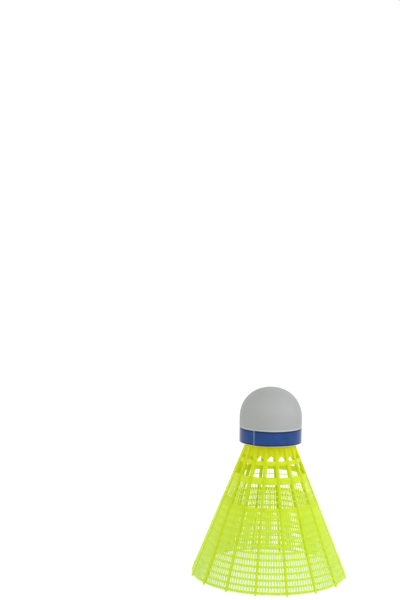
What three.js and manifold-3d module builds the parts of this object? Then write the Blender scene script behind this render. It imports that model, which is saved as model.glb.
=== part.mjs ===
// A badminton shuttlecock with a moulded nylon skirt and a cork base, in millimetres.
//
// It stands on its skirt: +Z runs up the axis to the nose of the cork, and the origin is on the axis, level
// with the tips of the ribs. The skirt of the real thing is one moulding. Here it is parted where its ribs
// meet the neck and the net, so that each piece is simple: a neck with the plug, the ribs, and a panel of
// net between each two ribs. The plug is glued into the socket of the cork. A thin cover is stretched over
// the cork, and a band is wound round it.

import * as THREE from 'three';
import { mergeVertices } from 'three/addons/utils/BufferGeometryUtils.js';
import Module from 'manifold-3d';

const wasm = await Module();
wasm.setup();

// Cork base
const corkRadius = 13.0; // outside of the cover
const corkSideHeight = 10.0; // the straight side, below the dome
const corkDomeHeight = 12.9;
const corkDomeFullness = 2.13; // 2 is an ellipse, and more is squarer
const socketClearance = 0.4; // room for adhesive round the plug
const socketEndClearance = 0.6; // and past its end

// Cover and band
const coverThickness = 0.5;
const coverClearance = 0.1; // between the cover and what it lies on
const bandWidth = 5.9;
const bandThickness = 0.2;
const bandClearance = 0.05; // between the band and the cover
const hemHeight = 0.3; // of cover that shows below the band

// Adhesive round the plug
const adhesiveThickness = 0.2;
const adhesiveSetback = 1.0; // from the mouth of the socket

// Skirt: a cone whose size is measured to the outer faces of the ribs
const skirtHeight = 55.7; // from the rib tips to the bottom of the cork
const mouthRadius = 32.8; // at the rib tips
const neckRadius = 10.2; // at the cork
const ribCount = 16;
const ribTipWidth = 1.2;
const ribNeckWidth = 1.45;
const ribTipDepth = 1.0;
const ribNeckDepth = 1.8;
const partingGap = 0.05; // between the pieces that the moulding is parted into
const cutMargin = 3.0; // how far a slot is cut past what it parts

// Collar, flange and plug
const collarHeight = 4.1;
const collarWall = 1.1;
const collarSetback = 0.3; // behind the outer faces of the ribs
const flangeThickness = 1.1;
const plugRadius = 7.5;
const plugWall = 1.2;
const plugLength = 9.0;
const plugChamfer = 0.5;

// Rings and openings below the collar, going down
const neckWindowHeight = 1.9;
const upperRingHeight = 1.7;
const bodyWindowHeight = 4.6;
const lowerRingHeight = 2.7;
const ringWall = 0.9;
const ringSetback = 0.2; // behind the outer faces of the ribs

// Net: an open stretch under the lower ring, a middle ring, and a close stretch down to the rim.
// One upright strand in each panel stands for the several thinner ones of the moulding.
const openNetHeight = 8.65; // between the lower ring and the middle ring
const openNetPitch = 2.15;
const closeNetPitch = 2.5;
const closeNetTightening = 0.097; // how much closer the hoops are at the rim; 0 spaces them evenly
const middleRingHeight = 1.5;
const rimHoopHeight = 0.9;
const tipLength = 0.7; // of a rib, past the rim hoop
const openHoopHeight = 0.6;
const closeHoopHeight = 0.85;
const hoopWall = 0.6;
const hoopSetback = 0.3; // behind the outer faces of the ribs
const strandWidth = 0.5;
const strandDepth = 0.4;
const strandSetback = 0.4; // behind the outer faces of the ribs

// Facets
const roundSegments = 40; // round the cork and the collar
const hoopSegments = 2 * ribCount; // with a corner hidden in each rib
const domeSteps = 9;

// Heights and radii that follow from these
const coverInset = coverThickness + coverClearance;
const bodyRadius = corkRadius - coverInset;
const coverRadiusUnderBand = corkRadius - bandThickness - bandClearance;
const bandBottom = skirtHeight + hemHeight;
const bandTop = bandBottom + bandWidth;
const plugTop = skirtHeight + plugLength;
const socketRadius = plugRadius + socketClearance;
const socketTop = plugTop + socketEndClearance;
const collarBottom = skirtHeight - collarHeight;
const upperRingTop = collarBottom - neckWindowHeight;
const neckBottom = upperRingTop - upperRingHeight;
const lowerRingTop = neckBottom - bodyWindowHeight;
const lowerRingBottom = lowerRingTop - lowerRingHeight;
const middleRingTop = lowerRingBottom - openNetHeight;
const middleRingMiddle = middleRingTop - middleRingHeight / 2;
const rimMiddle = tipLength + rimHoopHeight / 2;

const materials = {
  nylon: new THREE.MeshStandardMaterial({ color: 0xcdeb1e, roughness: 0.42, metalness: 0 }),
  cork: new THREE.MeshStandardMaterial({ color: 0xc49a6c, roughness: 0.9, metalness: 0 }),
  cover: new THREE.MeshStandardMaterial({ color: 0xb6b8b6, roughness: 0.55, metalness: 0 }),
  band: new THREE.MeshStandardMaterial({ color: 0x2f54a4, roughness: 0.3, metalness: 0 }),
  adhesive: new THREE.MeshStandardMaterial({ color: 0xe6ddc0, roughness: 0.35, metalness: 0 }),
};

// The radius of the cone through the outer faces of the ribs.
function coneRadius(z) {
  return THREE.MathUtils.lerp(mouthRadius, neckRadius, z / skirtHeight);
}

// A body of revolution about Z, from a closed outline of [radius, height] points.
function turned(outline, segments) {
  const points = [...outline, outline[0]].map(([radius, z]) => new THREE.Vector2(radius, z));
  return new THREE.LatheGeometry(points, segments).rotateX(Math.PI / 2);
}

// A conical ring between two heights, its outer face set back from the faces of the ribs.
function ring(bottom, top, wall, setback) {
  const outer = (z) => coneRadius(z) - setback;
  return turned(
    [
      [outer(bottom) - wall, bottom],
      [outer(bottom), bottom],
      [outer(top), top],
      [outer(top) - wall, top],
    ],
    hoopSegments,
  );
}

function hoop(middle, height, wall = hoopWall) {
  return ring(middle - height / 2, middle + height / 2, wall, hoopSetback);
}

// The hoops of the open net, evenly spaced between the middle ring and the lower ring.
function openNet() {
  const gaps = Math.max(1, Math.round(openNetHeight / openNetPitch));
  const hoops = [];
  for (let i = 1; i < gaps; i += 1) {
    hoops.push(hoop(middleRingTop + (openNetHeight * i) / gaps, openHoopHeight));
  }
  return hoops;
}

// The hoops of the close net, which draw together towards the rim.
function closeNet() {
  const height = middleRingMiddle - rimMiddle;
  const gaps = Math.max(1, Math.round(height / closeNetPitch));
  const hoops = [];
  for (let i = 1; i < gaps; i += 1) {
    const share = i / gaps;
    const drawn = share - closeNetTightening * share * (1 - share);
    hoops.push(hoop(rimMiddle + height * drawn, closeHoopHeight));
  }
  return hoops;
}

// An upright bar along the cone, with level ends. Its width and depth are given by height, and its turn is
// counted in ribs.
function bar(turn, bottom, top, widthAt, depthAt, setback) {
  const box = new THREE.BoxGeometry(1, 1, 1);
  const corners = box.getAttribute('position');
  for (let i = 0; i < corners.count; i += 1) {
    const z = THREE.MathUtils.lerp(bottom, top, corners.getZ(i) + 0.5);
    const inward = (0.5 - corners.getX(i)) * depthAt(z);
    corners.setXYZ(i, coneRadius(z) - setback - inward, corners.getY(i) * widthAt(z), z);
  }
  return box.rotateZ((turn / ribCount) * 2 * Math.PI);
}

// A rib widens and deepens from its tip to the cork.
function ribWidthAt(z) {
  return THREE.MathUtils.lerp(ribTipWidth, ribNeckWidth, z / skirtHeight);
}

function ribDepthAt(z) {
  return THREE.MathUtils.lerp(ribTipDepth, ribNeckDepth, z / skirtHeight);
}

function rib(index, bottom, top) {
  return bar(index, bottom, top, ribWidthAt, ribDepthAt, 0);
}

// The slot that a rib needs in the net, cut right through it.
function ribSlot(index) {
  const widthAt = (z) => ribWidthAt(z) + 2 * partingGap;
  const depthAt = (z) => ribDepthAt(z) + 2 * cutMargin;
  return bar(index, -cutMargin, skirtHeight, widthAt, depthAt, -cutMargin);
}

// The strand that runs up the middle of the panel after a rib, from the rim to the lower ring.
function strand(index) {
  const bottom = rimMiddle;
  const top = lowerRingBottom + lowerRingHeight / 2;
  return bar(index + 0.5, bottom, top, () => strandWidth, () => strandDepth, strandSetback);
}

// The collar, the flange that the cork sits on, and the hollow plug.
function collarAndPlug() {
  const flangeBottom = skirtHeight - flangeThickness;
  const outer = (z) => coneRadius(z) - collarSetback;
  const bore = plugRadius - plugWall;
  return turned(
    [
      [outer(collarBottom) - collarWall, collarBottom],
      [outer(collarBottom), collarBottom],
      [outer(skirtHeight), skirtHeight],
      [plugRadius, skirtHeight],
      [plugRadius, plugTop - plugChamfer],
      [plugRadius - plugChamfer, plugTop],
      [bore, plugTop],
      [bore, flangeBottom],
      [outer(flangeBottom) - collarWall, flangeBottom],
    ],
    roundSegments,
  );
}

// A closed mesh as a manifold solid, with its doubled corners joined.
function toSolid(geometry) {
  geometry.deleteAttribute('normal');
  geometry.deleteAttribute('uv');
  const merged = mergeVertices(geometry, 1e-5);
  const vertProperties = new Float32Array(merged.getAttribute('position').array);
  const triVerts = new Uint32Array(merged.index.array);
  return new wasm.Manifold(new wasm.Mesh({ numProp: 3, vertProperties, triVerts }));
}

function fromSolid(solid) {
  const mesh = solid.getMesh();
  const geometry = new THREE.BufferGeometry();
  geometry.setAttribute('position', new THREE.BufferAttribute(mesh.vertProperties, 3));
  geometry.setIndex(new THREE.BufferAttribute(mesh.triVerts, 1));
  geometry.computeVertexNormals();
  return geometry;
}

function union(geometries) {
  return geometries.map(toSolid).reduce((whole, part) => whole.add(part));
}

function forEachRib(make) {
  return Array.from({ length: ribCount }, (_, index) => make(index));
}

// The collar and plug, with the upper ring and the ends of the ribs that hold it.
function neck() {
  const upperRing = ring(neckBottom, upperRingTop, ringWall, ringSetback);
  const ribEnds = forEachRib((index) => rib(index, neckBottom, skirtHeight));
  return fromSolid(union([collarAndPlug(), upperRing, ...ribEnds]));
}

// The panels of net: every ring, hoop and strand below the neck, parted by the ribs.
function netPanels() {
  const net = union([
    ring(lowerRingBottom, lowerRingTop, ringWall, ringSetback),
    hoop(middleRingMiddle, middleRingHeight, ringWall),
    hoop(rimMiddle, rimHoopHeight),
    ...openNet(),
    ...closeNet(),
    ...forEachRib(strand),
  ]);
  const slots = union(forEachRib(ribSlot));
  return net.subtract(slots).decompose().sort((a, b) => turnOf(a) - turnOf(b));
}

// The direction in which a solid lies from the axis, from 0 to 2 pi.
function turnOf(solid) {
  const { min, max } = solid.boundingBox();
  const angle = Math.atan2(min[1] + max[1], min[0] + max[0]);
  return angle < 0 ? angle + 2 * Math.PI : angle;
}

// The outline of the dome from its edge up to the axis, drawn in by an inset.
function dome(inset) {
  const radius = corkRadius - inset;
  const height = corkDomeHeight - inset;
  const power = 2 / corkDomeFullness;
  const points = [];
  for (let i = 0; i <= domeSteps; i += 1) {
    const angle = ((i / domeSteps) * Math.PI) / 2;
    const across = i === domeSteps ? 0 : radius * Math.cos(angle) ** power;
    points.push([across, skirtHeight + corkSideHeight + height * Math.sin(angle) ** power]);
  }
  return points;
}

// The cork, from the roof of its socket, down, out and over the dome.
function cork() {
  return turned(
    [
      [0, socketTop],
      [socketRadius, socketTop],
      [socketRadius, skirtHeight],
      [bodyRadius, skirtHeight],
      ...dome(coverInset),
    ],
    roundSegments,
  );
}

// The cover is thinner under the band, which is wound tight enough to lie level with it.
function cover() {
  return turned(
    [
      [bodyRadius + coverClearance, skirtHeight],
      [corkRadius, skirtHeight],
      [corkRadius, bandBottom - bandClearance],
      [coverRadiusUnderBand, bandBottom - bandClearance],
      [coverRadiusUnderBand, bandTop + bandClearance],
      [corkRadius, bandTop + bandClearance],
      ...dome(0),
      ...dome(coverThickness).reverse(),
    ],
    roundSegments,
  );
}

function band() {
  return turned(
    [
      [corkRadius - bandThickness, bandBottom],
      [corkRadius, bandBottom],
      [corkRadius, bandTop],
      [corkRadius - bandThickness, bandTop],
    ],
    roundSegments,
  );
}

// The sleeve of adhesive that holds the plug in the socket.
function adhesive() {
  const inner = plugRadius + (socketClearance - adhesiveThickness) / 2;
  const bottom = skirtHeight + adhesiveSetback;
  const top = plugTop - plugChamfer;
  return turned(
    [
      [inner, bottom],
      [inner + adhesiveThickness, bottom],
      [inner + adhesiveThickness, top],
      [inner, top],
    ],
    roundSegments,
  );
}

function piece(name, geometry, material) {
  const mesh = new THREE.Mesh(geometry, material);
  mesh.name = name;
  return mesh;
}

// A name for one of a row of pieces, such as rib_03.
function numbered(name, index) {
  return `${name}_${String(index + 1).padStart(2, '0')}`;
}

const shuttlecock = new THREE.Group();
shuttlecock.add(
  piece('cork', cork(), materials.cork),
  piece('cork_cover', cover(), materials.cover),
  piece('speed_band', band(), materials.band),
  piece('plug_adhesive', adhesive(), materials.adhesive),
  piece('skirt_neck', neck(), materials.nylon),
);
forEachRib((index) => {
  const geometry = rib(index, 0, neckBottom - partingGap);
  shuttlecock.add(piece(numbered('skirt_rib', index), geometry, materials.nylon));
});
netPanels().forEach((panel, index) => {
  shuttlecock.add(piece(numbered('net_panel', index), fromSolid(panel), materials.nylon));
});

export default shuttlecock;
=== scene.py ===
# A badminton shuttlecock, standing on its skirt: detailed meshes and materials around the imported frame.
# Lengths are in metres and +Z is up. Sizes are written in millimetres, times MM.
import math

import bpy
from mathutils import Matrix, Vector, noise


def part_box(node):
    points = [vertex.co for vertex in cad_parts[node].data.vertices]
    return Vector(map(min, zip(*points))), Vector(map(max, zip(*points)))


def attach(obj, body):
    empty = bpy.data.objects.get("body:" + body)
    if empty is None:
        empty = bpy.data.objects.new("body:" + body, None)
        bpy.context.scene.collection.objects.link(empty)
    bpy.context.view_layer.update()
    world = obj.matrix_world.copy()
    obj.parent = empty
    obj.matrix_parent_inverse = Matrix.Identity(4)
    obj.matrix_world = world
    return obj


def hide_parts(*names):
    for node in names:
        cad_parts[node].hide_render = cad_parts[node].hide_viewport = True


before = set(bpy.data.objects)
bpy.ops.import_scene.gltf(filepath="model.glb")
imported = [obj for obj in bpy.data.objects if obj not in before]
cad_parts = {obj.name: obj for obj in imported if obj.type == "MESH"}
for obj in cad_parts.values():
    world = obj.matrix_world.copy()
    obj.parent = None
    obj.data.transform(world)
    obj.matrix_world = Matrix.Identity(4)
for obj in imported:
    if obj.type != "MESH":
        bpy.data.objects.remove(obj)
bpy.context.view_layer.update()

MM = 0.001
noise.seed_set(16)  # so that noise_vector, which follows the clock otherwise, is the same each run

# ---------------------------------------------------------------- sizes from the frame

RIB_COUNT = sum(name.startswith("skirt_rib_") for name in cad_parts)
RIB_TURN = 2 * math.pi / RIB_COUNT

_, tip_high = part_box("skirt_rib_01")
net_low, net_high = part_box("net_panel_01")
neck_low, neck_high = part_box("skirt_neck")
cork_low, cork_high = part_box("cork")
_, cover_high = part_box("cork_cover")
band_low, band_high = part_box("speed_band")

MOUTH_RADIUS = tip_high.x
CONE_SLOPE = (neck_high.x - MOUTH_RADIUS) / neck_low.z
SKIRT_HEIGHT = cork_low.z
PLUG_TOP = neck_high.z
NECK_BOTTOM = neck_low.z
RIM_BOTTOM = net_low.z
LOWER_RING_TOP = net_high.z
CORK_RADIUS = cover_high.x
CORK_TOP = cover_high.z
BODY_RADIUS = cork_high.x
BAND_RADIUS = band_high.x

# ---------------------------------------------------------------- sizes of the moulding

RIB_TIP_WIDTH = 1.20 * MM
RIB_NECK_WIDTH = 1.45 * MM
RIB_TIP_DEPTH = 1.0 * MM
RIB_NECK_DEPTH = 1.8 * MM
RIB_SETBACK_SHARE = 0.02  # of its depth, that a rib stands in from the cone
RIB_ROUNDNESS = 0.62  # of its section: 1 is an ellipse, and 0 is a rectangle
SPUR_LENGTH = 1.3 * MM  # of the tapered end of a rib, from its tip
SPUR_WIDTH_SHARE = 0.42  # of the rib's width, at the very tip
SPUR_DEPTH_SHARE = 0.85  # of the rib's depth, at the very tip

RIM_HOOP_HEIGHT = 0.9 * MM
MIDDLE_RING_HEIGHT = 1.5 * MM
UPPER_RING_HEIGHT = 1.7 * MM
LOWER_RING_HEIGHT = 2.7 * MM
OPEN_NET_HEIGHT = 8.65 * MM  # between the lower ring and the middle ring
OPEN_NET_GAPS = 4
CLOSE_NET_GAPS = 12
CLOSE_NET_TIGHTENING = 0.097  # the share by which the gaps next to the rim are less than even ones
CLOSE_HOOP_HEIGHT = 0.85 * MM
OPEN_HOOP_HEIGHT = 0.40 * MM
CLOSE_STRAND_WIDTH = 0.57 * MM
OPEN_STRAND_WIDTH = 0.25 * MM
NET_WALL = 0.42 * MM
NET_SETBACK = 0.3 * MM  # behind the outer faces of the ribs
EDGE_ROUNDING = 0.11 * MM  # of hoops and strands
HOOP_END = 0.15 * MM  # from the middle of the rib that hides it
CELLS = 10  # of the close net between two ribs; the open net has half as many
MIDDLE_RING_TOP = LOWER_RING_TOP - LOWER_RING_HEIGHT - OPEN_NET_HEIGHT

# How thin a face looks to the nylon material, from 0 to 1. The thinner a face, the paler it is
# painted, for the light that passes through it.
STRAND_THINNESS = 1.0
HOOP_THINNESS = 0.4
RING_THINNESS = 0.15

COLLAR_HEIGHT = 4.1 * MM
COLLAR_WALL = 1.1 * MM
COLLAR_SETBACK = 0.3 * MM
COLLAR_POINT_DROP = 2.3 * MM  # of the collar's edge from the middle of a window to a rib
COLLAR_POINT_REACH = 1.5 * MM  # how far up the collar the drop fades away
FLANGE_THICKNESS = 1.1 * MM
PLUG_RADIUS = 7.5 * MM
PLUG_WALL = 1.2 * MM
PLUG_CHAMFER = 0.5 * MM
NECK_ROUNDING = 0.25 * MM

# ---------------------------------------------------------------- sizes of the base

DOME_HEIGHT = 12.9 * MM
DOME_FULLNESS = 2.13
DOME_BOTTOM = CORK_TOP - DOME_HEIGHT
COVER_THICKNESS = 0.5 * MM
COVER_CLEARANCE = 0.1 * MM
COVER_ROUNDING = 0.12 * MM
BAND_CLEARANCE = 0.05 * MM
BAND_THICKNESS = 0.2 * MM
BAND_ROUNDING = 0.05 * MM
BAND_LAP = 6.6 * MM  # of the tape over its own start
LAP_CLEARANCE = 0.02 * MM
LAP_CLIMB = 0.12  # radians, in which the tape climbs onto its start
BAND_START = math.radians(-84.3)  # from +X
BAND_WANDER = 0.04 * MM  # of the tape, up and down
# The length of the tape's end that is painted pale, as a highlight.
BAND_HIGHLIGHT_END = 0.7 * MM
SOCKET_CLEARANCE = 0.4 * MM
SOCKET_END_CLEARANCE = 0.6 * MM
GLUE_CLEARANCE = 0.1 * MM
GLUE_ROUNDING = 0.08 * MM
GLUE_RUN = 0.5 * MM  # how far the edge of the adhesive wanders

ROUND_SEGMENTS = 128
NECK_SEGMENTS = 20 * RIB_COUNT  # a whole number for each window
ON_AXIS = 1e-9  # a radius below this is on the axis


def cone_radius(z):
    """The radius through the outer faces of the ribs."""
    return MOUTH_RADIUS + CONE_SLOPE * z


def lerp(a, b, t):
    return a + (b - a) * t


def line(start, end, steps):
    """Points evenly spaced along a straight line, without its start."""
    shares = [i / steps for i in range(1, steps + 1)]
    return [(lerp(start[0], end[0], t), lerp(start[1], end[1], t)) for t in shares]


def smoothstep(t):
    t = min(1.0, max(0.0, t))
    return t * t * (3 - 2 * t)


# ---------------------------------------------------------------- node trees

def add(tree, kind, **settings):
    """A shader node. A setting that names a property sets it, and any other sets or links an input. An
    input is given by its name, or by its number after an underscore."""
    made = tree.nodes.new(kind)
    for key, value in settings.items():
        if hasattr(made, key):
            setattr(made, key, value)
            continue
        socket = made.inputs[int(key[1:])] if key[0] == "_" else made.inputs[key]
        if isinstance(value, bpy.types.NodeSocket):
            tree.links.new(value, socket)
        else:
            socket.default_value = value
    return made


def ramp(tree, factor, *stops):
    """A colour ramp through (position, colour) stops."""
    made = add(tree, "ShaderNodeValToRGB", Fac=factor)
    elements = made.color_ramp.elements
    while len(elements) < len(stops):
        elements.new(0.5)
    for element, (position, colour) in zip(elements, stops):
        element.position = position
        element.color = (*colour, 1)
    return made.outputs["Color"]


def new_material(name):
    material = bpy.data.materials.new(name)
    material.use_nodes = True
    tree = material.node_tree
    tree.nodes.clear()
    shader = add(tree, "ShaderNodeBsdfPrincipled")
    output = add(tree, "ShaderNodeOutputMaterial")
    tree.links.new(shader.outputs["BSDF"], output.inputs["Surface"])
    place = add(tree, "ShaderNodeTexCoord").outputs["Object"]
    return material, tree, shader, place


def noise_of(tree, place, scale, detail=4.0, roughness=0.5):
    made = add(tree, "ShaderNodeTexNoise", Vector=place, Scale=scale, Detail=detail, Roughness=roughness)
    return made.outputs["Fac"]


def ranged(tree, value, low, high, from_low=0.0, from_high=1.0):
    """A value carried from one range to another, and held at its ends."""
    made = add(tree, "ShaderNodeMapRange", _0=value, _1=from_low, _2=from_high, _3=low, _4=high)
    return made.outputs["Result"]


def bump_of(tree, height, distance, strength=1.0, normal=None):
    made = add(tree, "ShaderNodeBump", Height=height, Distance=distance, Strength=strength)
    if normal is not None:
        tree.links.new(normal, made.inputs["Normal"])
    return made.outputs["Normal"]


def mixed(tree, factor, a, b):
    """Two colours mixed. Each is a socket or a plain colour. The node's sockets go by number, because
    those for colours share their names with others."""
    made = add(tree, "ShaderNodeMix", data_type="RGBA")
    for value, socket in ((factor, made.inputs[0]), (a, made.inputs[6]), (b, made.inputs[7])):
        if isinstance(value, bpy.types.NodeSocket):
            tree.links.new(value, socket)
        elif isinstance(value, tuple):
            socket.default_value = (*value, 1)
        else:
            socket.default_value = value
    return made.outputs[2]


def connect(tree, shader, **sockets):
    """Links outputs to the shader's inputs, which are named with underscores for spaces."""
    for name, value in sockets.items():
        tree.links.new(value, shader.inputs[name.replace("_", " ")])


# ---------------------------------------------------------------- materials

def nylon_material():
    """Fluorescent yellow moulded nylon, with a painted glow in its own colour that lightens its shaded
    inside. Its thin strands are painted paler than the ribs and the neck, for the light that passes
    through them. Up the skirt it turns deeper yellow and, near the top, darker, which is painted shade
    under the cork. The thinness attribute of a face is 1 on a strand and 0 on a thick part."""
    material, tree, shader, place = new_material("nylon")
    height = add(tree, "ShaderNodeSeparateXYZ", Vector=place).outputs["Z"]
    up = ranged(tree, height, 0.0, 1.0, from_high=SKIRT_HEIGHT)
    patches = noise_of(tree, place, 160.0, 3.0)
    where = add(tree, "ShaderNodeMath", operation="ADD", _0=up, _1=ranged(tree, patches, -0.12, 0.12))
    # Thick parts turn deeper yellow up the skirt, and darker at the top, which is painted shade under the
    # cork.
    thick = ramp(
        tree, where.outputs[0],
        (0.0, (0.44, 0.57, 0.024)),
        (0.7, (0.43, 0.53, 0.011)),
        (1.0, (0.51, 0.54, 0.002)),
    )
    # Thin strands are painted paler and bluer, for the light passing through them, most at the rim and in
    # the open net.
    thin = ramp(
        tree, where.outputs[0],
        (0.0, (0.43, 0.62, 0.165)),
        (0.35, (0.43, 0.60, 0.070)),
        (0.56, (0.45, 0.60, 0.042)),
        (0.62, (0.60, 0.74, 0.17)),
        (1.0, (0.57, 0.66, 0.04)),
    )
    thinness = add(tree, "ShaderNodeAttribute", attribute_name="thinness").outputs["Fac"]
    fine = noise_of(tree, place, 2200.0, 2.0)
    colour = mixed(tree, thinness, thick, thin)
    colour = mixed(tree, ranged(tree, fine, 0.0, 0.16), colour, (0.50, 0.63, 0.002))
    connect(tree, shader, Base_Color=colour, Roughness=ranged(tree, patches, 0.38, 0.54))
    # A painted glow: the nylon emits its own colour, which lightens its shaded inside.
    connect(tree, shader, Emission_Color=colour)
    connect(tree, shader, Normal=bump_of(tree, fine, 0.03 * MM, 0.5))
    # The strength of the painted glow.
    shader.inputs["Emission Strength"].default_value = 0.36
    shader.inputs["Specular IOR Level"].default_value = 0.12
    shader.inputs["Subsurface Weight"].default_value = 1.0
    shader.inputs["Subsurface Radius"].default_value = (1.0, 1.0, 0.2)
    shader.inputs["Subsurface Scale"].default_value = 2.0 * MM
    return material


def cork_material():
    """Bare ground cork: tan grains of several tones, with dark pores."""
    material, tree, shader, place = new_material("cork")
    grains = add(tree, "ShaderNodeTexVoronoi", Vector=place, Scale=900.0)
    tone = add(tree, "ShaderNodeSeparateColor", Color=grains.outputs["Color"]).outputs["Red"]
    colour = ramp(
        tree, tone,
        (0.0, (0.36, 0.20, 0.10)),
        (0.45, (0.55, 0.35, 0.19)),
        (1.0, (0.68, 0.48, 0.29)),
    )
    pores = noise_of(tree, place, 1500.0, 5.0, 0.7)
    pits = ramp(tree, pores, (0.34, (1.0, 1.0, 1.0)), (0.42, (0.0, 0.0, 0.0)))
    colour = mixed(tree, pits, colour, (0.13, 0.06, 0.03))
    connect(tree, shader, Base_Color=colour, Roughness=ranged(tree, pores, 0.75, 0.95))
    edges = bump_of(tree, grains.outputs["Distance"], 0.08 * MM, 0.6)
    connect(tree, shader, Normal=bump_of(tree, pores, 0.12 * MM, 0.8, edges))
    return material


def cover_material():
    """White synthetic leather with a soft pebble grain, faintly mottled, and a little darker in the creases
    of its grain. Next to the band it has a pale line, a painted highlight on its shoulder."""
    material, tree, shader, place = new_material("cover")
    clouds = noise_of(tree, place, 110.0, 3.0, 0.6)
    colour = ramp(
        tree, clouds,
        (0.30, (0.410, 0.430, 0.415)),
        (0.52, (0.440, 0.450, 0.442)),
        (0.72, (0.462, 0.455, 0.460)),
    )
    grain = add(tree, "ShaderNodeTexVoronoi", Vector=place, Scale=1500.0, feature="SMOOTH_F1")
    creases = ranged(tree, grain.outputs["Distance"], 0.0, 0.18)
    colour = mixed(tree, creases, colour, (0.36, 0.37, 0.365))
    height = add(tree, "ShaderNodeSeparateXYZ", Vector=place).outputs["Z"]
    # Painted highlight: a pale line on the cover's shoulder, just above the band.
    shoulder_highlight = ranged(
        tree, height, 0.85, 0.0,
        from_low=band_high.z + 0.3 * MM, from_high=band_high.z + 0.8 * MM,
    )
    colour = mixed(tree, shoulder_highlight, colour, (0.62, 0.67, 0.72))
    fibres = noise_of(tree, place, 3000.0, 3.0)
    connect(tree, shader, Base_Color=colour, Roughness=ranged(tree, clouds, 0.46, 0.62))
    pebbles = bump_of(tree, grain.outputs["Distance"], -0.035 * MM, 0.7)
    connect(tree, shader, Normal=bump_of(tree, fibres, 0.012 * MM, 0.5, pebbles))
    shader.inputs["IOR"].default_value = 1.46
    return material


def band_material():
    """Glossy royal blue tape, with painted shade along its two edges, where it meets the cover. The cut
    attribute of a face is 1 at its ends, which are painted pale, as a highlight.
    """
    material, tree, shader, place = new_material("band")
    waves = noise_of(tree, place, 260.0, 2.0)
    colour = ramp(
        tree, waves,
        (0.35, (0.006, 0.048, 0.215)),
        (0.65, (0.009, 0.064, 0.275)),
    )
    height = add(tree, "ShaderNodeSeparateXYZ", Vector=place).outputs["Z"]
    middle = (band_low.z + band_high.z) / 2
    half = (band_high.z - band_low.z) / 2
    from_middle = add(tree, "ShaderNodeMath", operation="SUBTRACT", _0=height, _1=middle).outputs[0]
    from_middle = add(tree, "ShaderNodeMath", operation="ABSOLUTE", _0=from_middle).outputs[0]
    # Painted shade along both edges of the tape, where it meets the cover.
    edge = ranged(tree, from_middle, 0.0, 1.0, from_low=half - 0.75 * MM, from_high=half - 0.40 * MM)
    colour = mixed(tree, edge, colour, (0.004, 0.020, 0.075))
    # The ends are painted pale: a painted highlight on the edge of the lap.
    cut = add(tree, "ShaderNodeAttribute", attribute_name="cut").outputs["Fac"]
    colour = mixed(tree, cut, colour, (0.11, 0.19, 0.36))
    connect(tree, shader, Base_Color=colour, Roughness=ranged(tree, waves, 0.14, 0.22))
    ripple = noise_of(tree, place, 420.0, 2.0)
    connect(tree, shader, Normal=bump_of(tree, ripple, 0.03 * MM, 0.3))
    shader.inputs["IOR"].default_value = 1.33
    return material


def adhesive_material():
    """Clear set adhesive, slightly yellow, with small bubbles."""
    material, tree, shader, place = new_material("adhesive")
    bubbles = add(tree, "ShaderNodeTexVoronoi", Vector=place, Scale=1100.0).outputs["Distance"]
    colour = ramp(
        tree, bubbles,
        (0.10, (0.86, 0.86, 0.68)),
        (0.45, (0.74, 0.72, 0.46)),
    )
    connect(tree, shader, Base_Color=colour, Roughness=ranged(tree, bubbles, 0.15, 0.35))
    connect(tree, shader, Normal=bump_of(tree, bubbles, 0.05 * MM, 0.5))
    return material


MATERIALS = {
    "nylon": nylon_material(),
    "cork": cork_material(),
    "cover": cover_material(),
    "band": band_material(),
    "adhesive": adhesive_material(),
}

# ---------------------------------------------------------------- mesh helpers


def piece(name, slot, vertices, faces, *replaced, sharp=None, measure=None):
    """A finished piece of the object, smooth but for edges over the sharp angle, in degrees. A measure is
    the name of an attribute for the material, and its value on each face."""
    mesh = bpy.data.meshes.new(name)
    mesh.from_pydata(vertices, [], faces)
    mesh.validate()
    mesh.shade_smooth()
    if sharp is not None:
        mesh.set_sharp_from_angle(angle=math.radians(sharp))
    if measure is not None:
        attribute, values = measure
        mesh.attributes.new(attribute, "FLOAT", "FACE").data.foreach_set("value", values)
    mesh.materials.append(MATERIALS[slot])
    made = bpy.data.objects.new(name, mesh)
    bpy.context.scene.collection.objects.link(made)
    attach(made, "root")
    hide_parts(*replaced)
    return made


def rounded(outline, radius, steps=4):
    """A closed outline with each corner off the axis rounded by a short curve."""
    points = [Vector(p) for p in outline]
    made = []
    for i, corner in enumerate(points):
        before, after = points[i - 1], points[(i + 1) % len(points)]
        if corner.x < ON_AXIS:
            made.append(corner)
            continue
        reach = min(radius, (before - corner).length * 0.45, (after - corner).length * 0.45)
        start = corner + (before - corner).normalized() * reach
        end = corner + (after - corner).normalized() * reach
        for step in range(steps + 1):
            t = step / steps
            made.append(start * (1 - t) ** 2 + corner * 2 * t * (1 - t) + end * t * t)
    return made


def revolved(outline, segments=ROUND_SEGMENTS, shape=None):
    """Vertices and faces of a body of revolution, from an outline of (radius, z) that turns anticlockwise.
    An outline that touches the axis starts and ends there. shape(point) may move each point."""
    vertices, rows = [], []
    on_axis = outline[0][0] < ON_AXIS and outline[-1][0] < ON_AXIS
    for radius, z in outline:
        count = 1 if radius < ON_AXIS else segments
        row = []
        for i in range(count):
            turn = 2 * math.pi * i / segments
            point = Vector((radius * math.cos(turn), radius * math.sin(turn), z))
            row.append(len(vertices))
            vertices.append(shape(point) if shape else point)
        rows.append(row * segments if count == 1 else row)
    faces = []
    pairs = list(zip(rows, rows[1:])) + ([] if on_axis else [(rows[-1], rows[0])])
    for low, high in pairs:
        for i in range(segments):
            j = (i + 1) % segments
            ring = [low[i], low[j], high[j], high[i]]
            face = [v for k, v in enumerate(ring) if v != ring[k - 1]]
            if len(face) > 2:
                faces.append(face)
    return vertices, faces


# ---------------------------------------------------------------- skirt: ribs

def rib_width(z):
    return lerp(RIB_TIP_WIDTH, RIB_NECK_WIDTH, z / SKIRT_HEIGHT)


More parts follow.
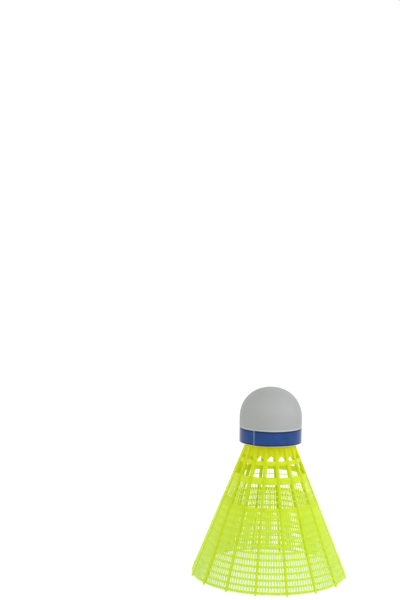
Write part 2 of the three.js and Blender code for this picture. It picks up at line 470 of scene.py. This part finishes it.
def rib_depth(z):
    return lerp(RIB_TIP_DEPTH, RIB_NECK_DEPTH, z / SKIRT_HEIGHT)


def rib_heights():
    """Where a rib has a section: close together in its spur, and then evenly."""
    spur = [0.0, 0.08 * MM, 0.25 * MM, 0.5 * MM, 0.8 * MM, SPUR_LENGTH]
    steps = 24
    return spur + [lerp(SPUR_LENGTH, SKIRT_HEIGHT, (i + 1) / steps) for i in range(steps)]


def rib(index):
    """A rib from its spur up over the collar: a bar with a crowned outer face and a rounded lower end."""
    end_rounding = (0.82, 0.95)  # shares of the spur's size at its lowest two sections
    sides = 16
    turn = index * RIB_TURN
    outward = Vector((math.cos(turn), math.sin(turn), 0))
    across = Vector((-math.sin(turn), math.cos(turn), 0))
    vertices, faces = [], []
    for row, z in enumerate(rib_heights()):
        spur = smoothstep(z / SPUR_LENGTH)
        end = end_rounding[row] if row < len(end_rounding) else 1.0
        half_width = rib_width(z) / 2 * lerp(SPUR_WIDTH_SHARE, 1, spur) * end
        depth = rib_depth(z) * lerp(SPUR_DEPTH_SHARE, 1, spur) * end
        for side in range(sides):
            angle = 2 * math.pi * side / sides
            x = math.copysign(abs(math.cos(angle)) ** RIB_ROUNDNESS, math.cos(angle))
            y = math.copysign(abs(math.sin(angle)) ** RIB_ROUNDNESS, math.sin(angle))
            radius = cone_radius(z) - rib_depth(z) * RIB_SETBACK_SHARE - depth * (1 - x) / 2
            vertices.append(outward * radius + across * (half_width * y) + Vector((0, 0, z)))
    rows = len(rib_heights())
    for row in range(rows - 1):
        for side in range(sides):
            a, b = row * sides + side, row * sides + (side + 1) % sides
            faces.append([a, b, b + sides, a + sides])
    faces.append(list(range(sides))[::-1])
    faces.append([(rows - 1) * sides + side for side in range(sides)])
    number = f"{index + 1:02d}"
    return piece(f"rib_{number}", "nylon", vertices, faces, f"skirt_rib_{number}", sharp=50)


# ---------------------------------------------------------------- skirt: net

def hoop_rows():
    """(bottom, top, kind) of each hoop or ring from the rim up, where kind is what lies above it."""
    rim = RIM_BOTTOM + RIM_HOOP_HEIGHT / 2
    lower_ring = LOWER_RING_TOP - LOWER_RING_HEIGHT
    middle = MIDDLE_RING_TOP - MIDDLE_RING_HEIGHT / 2
    rows = [(rim, RIM_HOOP_HEIGHT, "close")]
    for i in range(1, CLOSE_NET_GAPS):
        share = i / CLOSE_NET_GAPS
        share -= CLOSE_NET_TIGHTENING * share * (1 - share)
        rows.append((lerp(rim, middle, share), CLOSE_HOOP_HEIGHT, "close"))
    rows.append((middle, MIDDLE_RING_HEIGHT, "open"))
    for i in range(1, OPEN_NET_GAPS):
        rows.append((lerp(MIDDLE_RING_TOP, lower_ring, i / OPEN_NET_GAPS), OPEN_HOOP_HEIGHT, "open"))
    rows.append((LOWER_RING_TOP - LOWER_RING_HEIGHT / 2, LOWER_RING_HEIGHT, "window"))
    rows.append((NECK_BOTTOM + UPPER_RING_HEIGHT / 2, UPPER_RING_HEIGHT, "window"))
    return [(z - height / 2, z + height / 2, kind) for z, height, kind in rows]


def net_columns():
    """(cell edge, side) of each upright line of the lattice: the ends lie inside the ribs, and each strand
    has two sides about a cell edge."""
    columns = [(0, 0)]
    for cell in range(1, CELLS):
        columns += [(cell, -1), (cell, 1)]
    return columns + [(CELLS, 0)]


def strand_width(z):
    """Strands are narrower in the open net, above the middle ring."""
    return OPEN_STRAND_WIDTH if z > MIDDLE_RING_TOP - EDGE_ROUNDING else CLOSE_STRAND_WIDTH


def is_solid(row, column, kind):
    """Whether a cell of the lattice is nylon. Even rows are hoops, and even columns are gaps."""
    if row % 2 == 0:
        return True
    if kind == "window" or column % 2 == 0:
        return False
    strand = (column + 1) // 2
    return kind == "close" or strand % 2 == 0


def cell_thinness(row, hoops):
    """How pale a row of the lattice is painted, for the light that passes through it: most on strands,
    and least on rings.
    """
    if row % 2 == 1:
        return STRAND_THINNESS
    bottom, top, _ = hoops[row // 2]
    return HOOP_THINNESS if top - bottom < RIM_HOOP_HEIGHT else RING_THINNESS


def net(index):
    """The lattice between two ribs, as one skin in three layers: its outer face, its widest part and its
    inner face. The narrower outer and inner faces round off each hoop and strand."""
    hoops = hoop_rows()
    columns = net_columns()
    levels = [z for bottom, top, _ in hoops for z in (bottom, top)]
    vertices, faces, thinness, known = [], [], [], {}

    def vertex(layer, row, column):
        key = (layer, row, column)
        if key in known:
            return known[key]
        inset = 0.0 if layer == 1 else EDGE_ROUNDING
        z = levels[row] + (inset if row % 2 == 0 else -inset)
        radius = cone_radius(z)
        cell, side = columns[column]
        rib_half = rib_width(z) / 2
        clear = radius * RIB_TURN - 2 * rib_half
        if side == 0:
            arc = HOOP_END if cell == 0 else radius * RIB_TURN - HOOP_END
        else:
            width = strand_width(z)
            share = cell / CELLS
            middle = rib_half + clear * share + width * (share - 0.5)
            arc = middle + side * (width / 2 - inset)
        turn = (index + arc / (radius * RIB_TURN)) * RIB_TURN
        radius -= NET_SETBACK + NET_WALL * layer / 2
        known[key] = len(vertices)
        vertices.append((radius * math.cos(turn), radius * math.sin(turn), z))
        return known[key]

    def solid(row, column):
        inside = 0 <= row < len(levels) - 1 and 0 <= column < len(columns) - 1
        return inside and is_solid(row, column, hoops[row // 2][2])

    def wall(row_a, column_a, row_b, column_b):
        for layer in (0, 1):
            faces.append([
                vertex(layer, row_a, column_a), vertex(layer, row_b, column_b),
                vertex(layer + 1, row_b, column_b), vertex(layer + 1, row_a, column_a),
            ])

    for row in range(len(levels) - 1):
        for column in range(len(columns) - 1):
            if not solid(row, column):
                continue
            made = len(faces)
            corners = [(row, column), (row, column + 1), (row + 1, column + 1), (row + 1, column)]
            faces.append([vertex(0, *corner) for corner in corners])
            faces.append([vertex(2, *corner) for corner in corners[::-1]])
            if not solid(row, column - 1):
                wall(row, column, row + 1, column)
            if not solid(row, column + 1):
                wall(row + 1, column + 1, row, column + 1)
            if not solid(row - 1, column):
                wall(row, column + 1, row, column)
            if not solid(row + 1, column):
                wall(row + 1, column, row + 1, column + 1)
            thinness += [cell_thinness(row, hoops)] * (len(faces) - made)
    number = f"{index + 1:02d}"
    return piece(
        f"net_{number}", "nylon", vertices, faces, f"net_panel_{number}",
        measure=("thinness", thinness),
    )


# ---------------------------------------------------------------- skirt: neck

def neck():
    """The collar, the flange that the cork sits on, and the hollow plug."""
    collar_bottom = SKIRT_HEIGHT - COLLAR_HEIGHT
    flange_bottom = SKIRT_HEIGHT - FLANGE_THICKNESS
    bore = PLUG_RADIUS - PLUG_WALL

    def outer(z):
        return cone_radius(z) - COLLAR_SETBACK

    outline = rounded(
        [
            (outer(collar_bottom) - COLLAR_WALL, collar_bottom),
            (outer(collar_bottom), collar_bottom),
            (outer(SKIRT_HEIGHT), SKIRT_HEIGHT),
            (PLUG_RADIUS, SKIRT_HEIGHT),
            (PLUG_RADIUS, PLUG_TOP - PLUG_CHAMFER),
            (PLUG_RADIUS - PLUG_CHAMFER, PLUG_TOP),
            (bore, PLUG_TOP),
            (bore, flange_bottom),
            (outer(flange_bottom) - COLLAR_WALL, flange_bottom),
        ],
        NECK_ROUNDING,
    )

    def pointed(point):
        """Each window under the collar has a pointed top."""
        turn = math.atan2(point.y, point.x) / RIB_TURN
        from_middle = abs(turn - math.floor(turn) - 0.5) * 2
        near_edge = 1 - smoothstep((point.z - collar_bottom) / COLLAR_POINT_REACH)
        return point - Vector((0, 0, COLLAR_POINT_DROP * from_middle * near_edge))

    vertices, faces = revolved(outline, NECK_SEGMENTS, pointed)
    return piece("neck_moulding", "nylon", vertices, faces, "skirt_neck")


# ---------------------------------------------------------------- base

def dome(inset, steps):
    """The outline of the dome from its edge up to the axis, drawn in by an inset."""
    radius, height, power = CORK_RADIUS - inset, DOME_HEIGHT - inset, 2 / DOME_FULLNESS
    made = []
    for i in range(steps + 1):
        angle = math.pi / 2 * i / steps
        across = 0.0 if i == steps else radius * math.cos(angle) ** power
        made.append((across, DOME_BOTTOM + height * math.sin(angle) ** power))
    return made


def roughened(size, scale):
    """A mover of points that roughens a surface by up to about a size, in lumps of a scale."""
    def move(point):
        return point + Vector(noise.noise_vector(point / scale)) * size
    return move


def cork_base():
    """The bare cork under the cover, ground to shape, with a bored socket."""
    socket_radius = PLUG_RADIUS + SOCKET_CLEARANCE
    socket_top = PLUG_TOP + SOCKET_END_CLEARANCE
    roof = line((0.0, socket_top), (socket_radius, socket_top), 8)
    wall = line((socket_radius, socket_top), (socket_radius, SKIRT_HEIGHT), 6)
    under = line((socket_radius, SKIRT_HEIGHT), (BODY_RADIUS, SKIRT_HEIGHT), 10)
    outline = [(0.0, socket_top)] + roof + wall + under + dome(CORK_RADIUS - BODY_RADIUS, 20)
    vertices, faces = revolved(outline, shape=roughened(size=0.04 * MM, scale=0.9 * MM))
    return piece("cork_base", "cork", vertices, faces, "cork")


def cover_skin():
    """The cover, pulled down over the cork, let in under the band and cut level with the bottom."""
    inner = BODY_RADIUS + COVER_CLEARANCE
    waist = CORK_RADIUS - BAND_THICKNESS - BAND_CLEARANCE
    hem_top = band_low.z - BAND_CLEARANCE
    shoulder = band_high.z + BAND_CLEARANCE
    side = rounded(
        [
            (inner, SKIRT_HEIGHT),
            (CORK_RADIUS, SKIRT_HEIGHT),
            (CORK_RADIUS, hem_top),
            (waist, hem_top),
            (waist, shoulder),
            (CORK_RADIUS, shoulder),
            (CORK_RADIUS, DOME_BOTTOM),
            (inner, DOME_BOTTOM),
        ],
        COVER_ROUNDING,
    )
    below_dome = [tuple(p) for p in side if p.y < DOME_BOTTOM - 2 * COVER_ROUNDING]
    outline = below_dome + dome(0.0, 40) + dome(COVER_THICKNESS, 24)[::-1]
    soft = roughened(size=0.035 * MM, scale=2.6 * MM)

    def shape(point):
        """The cover is true next to the band, and softly uneven from there up."""
        from_band = smoothstep((point.z - shoulder) / (2 * MM))
        return point.lerp(soft(point), from_band)

    vertices, faces = revolved(outline, 160, shape)
    return piece("cover_skin", "cover", vertices, faces, "cork_cover", sharp=60)


def band_tape():
    """The tape, wound once round clockwise and lapped over its own start. Its end is painted pale, as a
    highlight on the edge of the lap.
    """
    section = rounded(
        [(0, band_low.z), (BAND_THICKNESS, band_low.z), (BAND_THICKNESS, band_high.z), (0, band_high.z)],
        BAND_ROUNDING, steps=3,
    )
    wound = 2 * math.pi + BAND_LAP / BAND_RADIUS
    # The end, painted pale as a highlight, is a step of its own.
    highlight_turn = BAND_HIGHLIGHT_END / BAND_RADIUS
    steps = 180
    turns = [(wound - highlight_turn) * step / steps for step in range(steps + 1)] + [wound]
    count = len(section)
    vertices, faces, cut = [], [], []
    for wound_so_far in turns:
        turn = BAND_START - wound_so_far
        lifted = smoothstep((wound_so_far - 2 * math.pi + LAP_CLIMB) / LAP_CLIMB)
        base = BAND_RADIUS - BAND_THICKNESS + lifted * (BAND_THICKNESS + LAP_CLEARANCE)
        wander = BAND_WANDER * noise.noise(Vector((math.cos(turn), math.sin(turn), 0.3)) * 1.7)
        for point in section:
            radius = base + point.x
            vertices.append((radius * math.cos(turn), radius * math.sin(turn), point.y + wander))
    for step in range(len(turns) - 1):
        for i in range(count):
            a, b = step * count + i, step * count + (i + 1) % count
            faces.append([a, b, b + count, a + count])
            cut.append(1.0 if step == steps else 0.0)
    last = (len(turns) - 1) * count
    faces.append(list(range(count))[::-1])
    faces.append([last + i for i in range(count)])
    cut += [1.0, 1.0]
    return piece("band_tape", "band", vertices, faces, "speed_band", sharp=50, measure=("cut", cut))


def glue_sleeve():
    """The set adhesive between the plug and its socket, with a wavy lower edge where it ran."""
    low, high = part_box("plug_adhesive")
    inner = PLUG_RADIUS + GLUE_CLEARANCE
    outline = rounded(
        [(inner, low.z), (high.x, low.z), (high.x, high.z), (inner, high.z)],
        GLUE_ROUNDING,
    )

    def run(point):
        """The lower half has run down, here more and there less."""
        if point.z > lerp(low.z, high.z, 0.5):
            return point
        drop = noise.noise(Vector((point.x, point.y, 0)) / (2.5 * MM))
        return point + Vector((0, 0, GLUE_RUN * drop))

    vertices, faces = revolved(outline, 96, run)
    return piece("glue_sleeve", "adhesive", vertices, faces, "plug_adhesive")


# ---------------------------------------------------------------- studio

# The camera stands CAMERA_DISTANCE from the axis and CAMERA_HEIGHT above the floor, turned CAMERA_TURN
# degrees about the axis from the rib that points along -Y. The object stands to the right of its line of
# sight and below it.
CAMERA_TURN = 8.73
CAMERA_DISTANCE = 0.4784
CAMERA_HEIGHT = 0.1457
CAMERA_PAN = -3.61  # degrees to the right, from the line to the axis
CAMERA_TILT = 3.74  # degrees down
CAMERA_ROLL = 0.72  # degrees
FOCAL_LENGTH = 69.3  # in millimetres, on a sensor 36 mm high

WORLD_LIGHT = 0.62
FLOOR_GLOW = 0.52
FLOOR_SHADE = 0.80
FLOOR_HALF_WIDTH = 3.0


def light_path_white(tree):
    """1 for a ray that should see plain white, and 0 for one that carries light to the object."""
    path = add(tree, "ShaderNodeLightPath")
    camera_ray, glossy_ray = path.outputs["Is Camera Ray"], path.outputs["Is Glossy Ray"]
    seen = add(tree, "ShaderNodeMath", operation="MAXIMUM", _0=camera_ray, _1=glossy_ray).outputs[0]
    through = path.outputs["Is Transmission Ray"]
    return add(tree, "ShaderNodeMath", operation="MAXIMUM", _0=seen, _1=through).outputs[0]


def white_world():
    """Even light from all round, against a background that looks white to the camera."""
    world = bpy.data.worlds.new("studio")
    bpy.context.scene.world = world
    world.use_nodes = True
    tree = world.node_tree
    tree.nodes.clear()
    strength = ranged(tree, light_path_white(tree), WORLD_LIGHT, 1.0)
    background = add(tree, "ShaderNodeBackground", Color=(1, 1, 1, 1), Strength=strength)
    output = add(tree, "ShaderNodeOutputWorld")
    tree.links.new(background.outputs[0], output.inputs["Surface"])


def white_floor():
    """A pale floor that looks white to the camera and keeps a soft shadow."""
    half = FLOOR_HALF_WIDTH
    corners = [(-half, -half, 0), (half, -half, 0), (half, half, 0), (-half, half, 0)]
    mesh = bpy.data.meshes.new("floor")
    mesh.from_pydata(corners, [], [(0, 1, 2, 3)])
    floor = bpy.data.objects.new("floor", mesh)
    bpy.context.scene.collection.objects.link(floor)
    material = bpy.data.materials.new("floor")
    material.use_nodes = True
    tree = material.node_tree
    tree.nodes.clear()
    seen = light_path_white(tree)
    glow = add(tree, "ShaderNodeEmission", Color=(1, 1, 1, 1), Strength=FLOOR_GLOW)
    shaded = add(tree, "ShaderNodeBsdfDiffuse", Color=(FLOOR_SHADE,) * 3 + (1,))
    plain = add(tree, "ShaderNodeBsdfDiffuse", Color=(0.8, 0.8, 0.8, 1))
    bright = add(tree, "ShaderNodeAddShader", _0=glow.outputs[0], _1=shaded.outputs[0])
    mix = add(tree, "ShaderNodeMixShader", Fac=seen, _1=plain.outputs[0], _2=bright.outputs[0])
    output = add(tree, "ShaderNodeOutputMaterial")
    tree.links.new(mix.outputs[0], output.inputs["Surface"])
    mesh.materials.append(material)


def softbox(name, azimuth, elevation, distance, width, height, level, colour=(1, 1, 1)):
    """A soft lamp aimed at the middle of the object. level is what it alone would light a white card to.
    Azimuth 0 is the camera's side, and it grows to the camera's right."""
    a = math.radians(azimuth + CAMERA_TURN)
    e = math.radians(elevation)
    middle = Vector((0, 0, CORK_TOP / 2))
    towards = Vector((math.sin(a) * math.cos(e), -math.cos(a) * math.cos(e), math.sin(e)))
    place = middle + distance * towards
    data = bpy.data.lights.new(name, "AREA")
    data.shape = "RECTANGLE"
    data.size, data.size_y = width, height
    data.energy = level * math.pi ** 2 * distance ** 2
    data.color = colour
    lamp = bpy.data.objects.new(name, data)
    lamp.location = place
    lamp.rotation_mode = "QUATERNION"
    lamp.rotation_quaternion = (place - middle).to_track_quat("Z", "Y")
    bpy.context.scene.collection.objects.link(lamp)


def camera():
    """The photograph's viewpoint."""
    data = bpy.data.cameras.new("camera")
    data.lens = FOCAL_LENGTH
    data.sensor_width = 36.0
    data.clip_start, data.clip_end = 0.01, 20.0
    pan, tilt, roll = (math.radians(x) for x in (CAMERA_PAN, CAMERA_TILT, CAMERA_ROLL))
    ahead = Vector((math.sin(pan) * math.cos(tilt), math.cos(pan) * math.cos(tilt), -math.sin(tilt)))
    level = ahead.cross(Vector((0, 0, 1))).normalized()
    upward = level.cross(ahead)
    right = math.cos(roll) * level + math.sin(roll) * upward
    up = math.cos(roll) * upward - math.sin(roll) * level
    axes = Matrix((right, up, -ahead)).transposed().to_4x4()
    stand = Matrix.Translation((0, -CAMERA_DISTANCE, CAMERA_HEIGHT))
    made = bpy.data.objects.new("camera", data)
    made.matrix_world = Matrix.Rotation(math.radians(CAMERA_TURN), 4, "Z") @ stand @ axes
    bpy.context.scene.collection.objects.link(made)
    bpy.context.scene.camera = made


# ---------------------------------------------------------------- build

camera()
white_world()
white_floor()
softbox(
    "key", azimuth=66, elevation=28, distance=0.9,
    width=0.5, height=0.5, level=0.38, colour=(0.96, 0.985, 1.0),
)
softbox(
    "fill", azimuth=-35, elevation=30, distance=1.0,
    width=0.6, height=0.6, level=0.15, colour=(1.0, 0.99, 0.96),
)
softbox("strip", azimuth=-64, elevation=12, distance=0.7, width=0.02, height=0.5, level=0.06)

for number in range(RIB_COUNT):
    rib(number)
    net(number)
neck()
cork_base()
cover_skin()
band_tape()
glue_sleeve()

bpy.context.scene.view_settings.view_transform = "Standard"
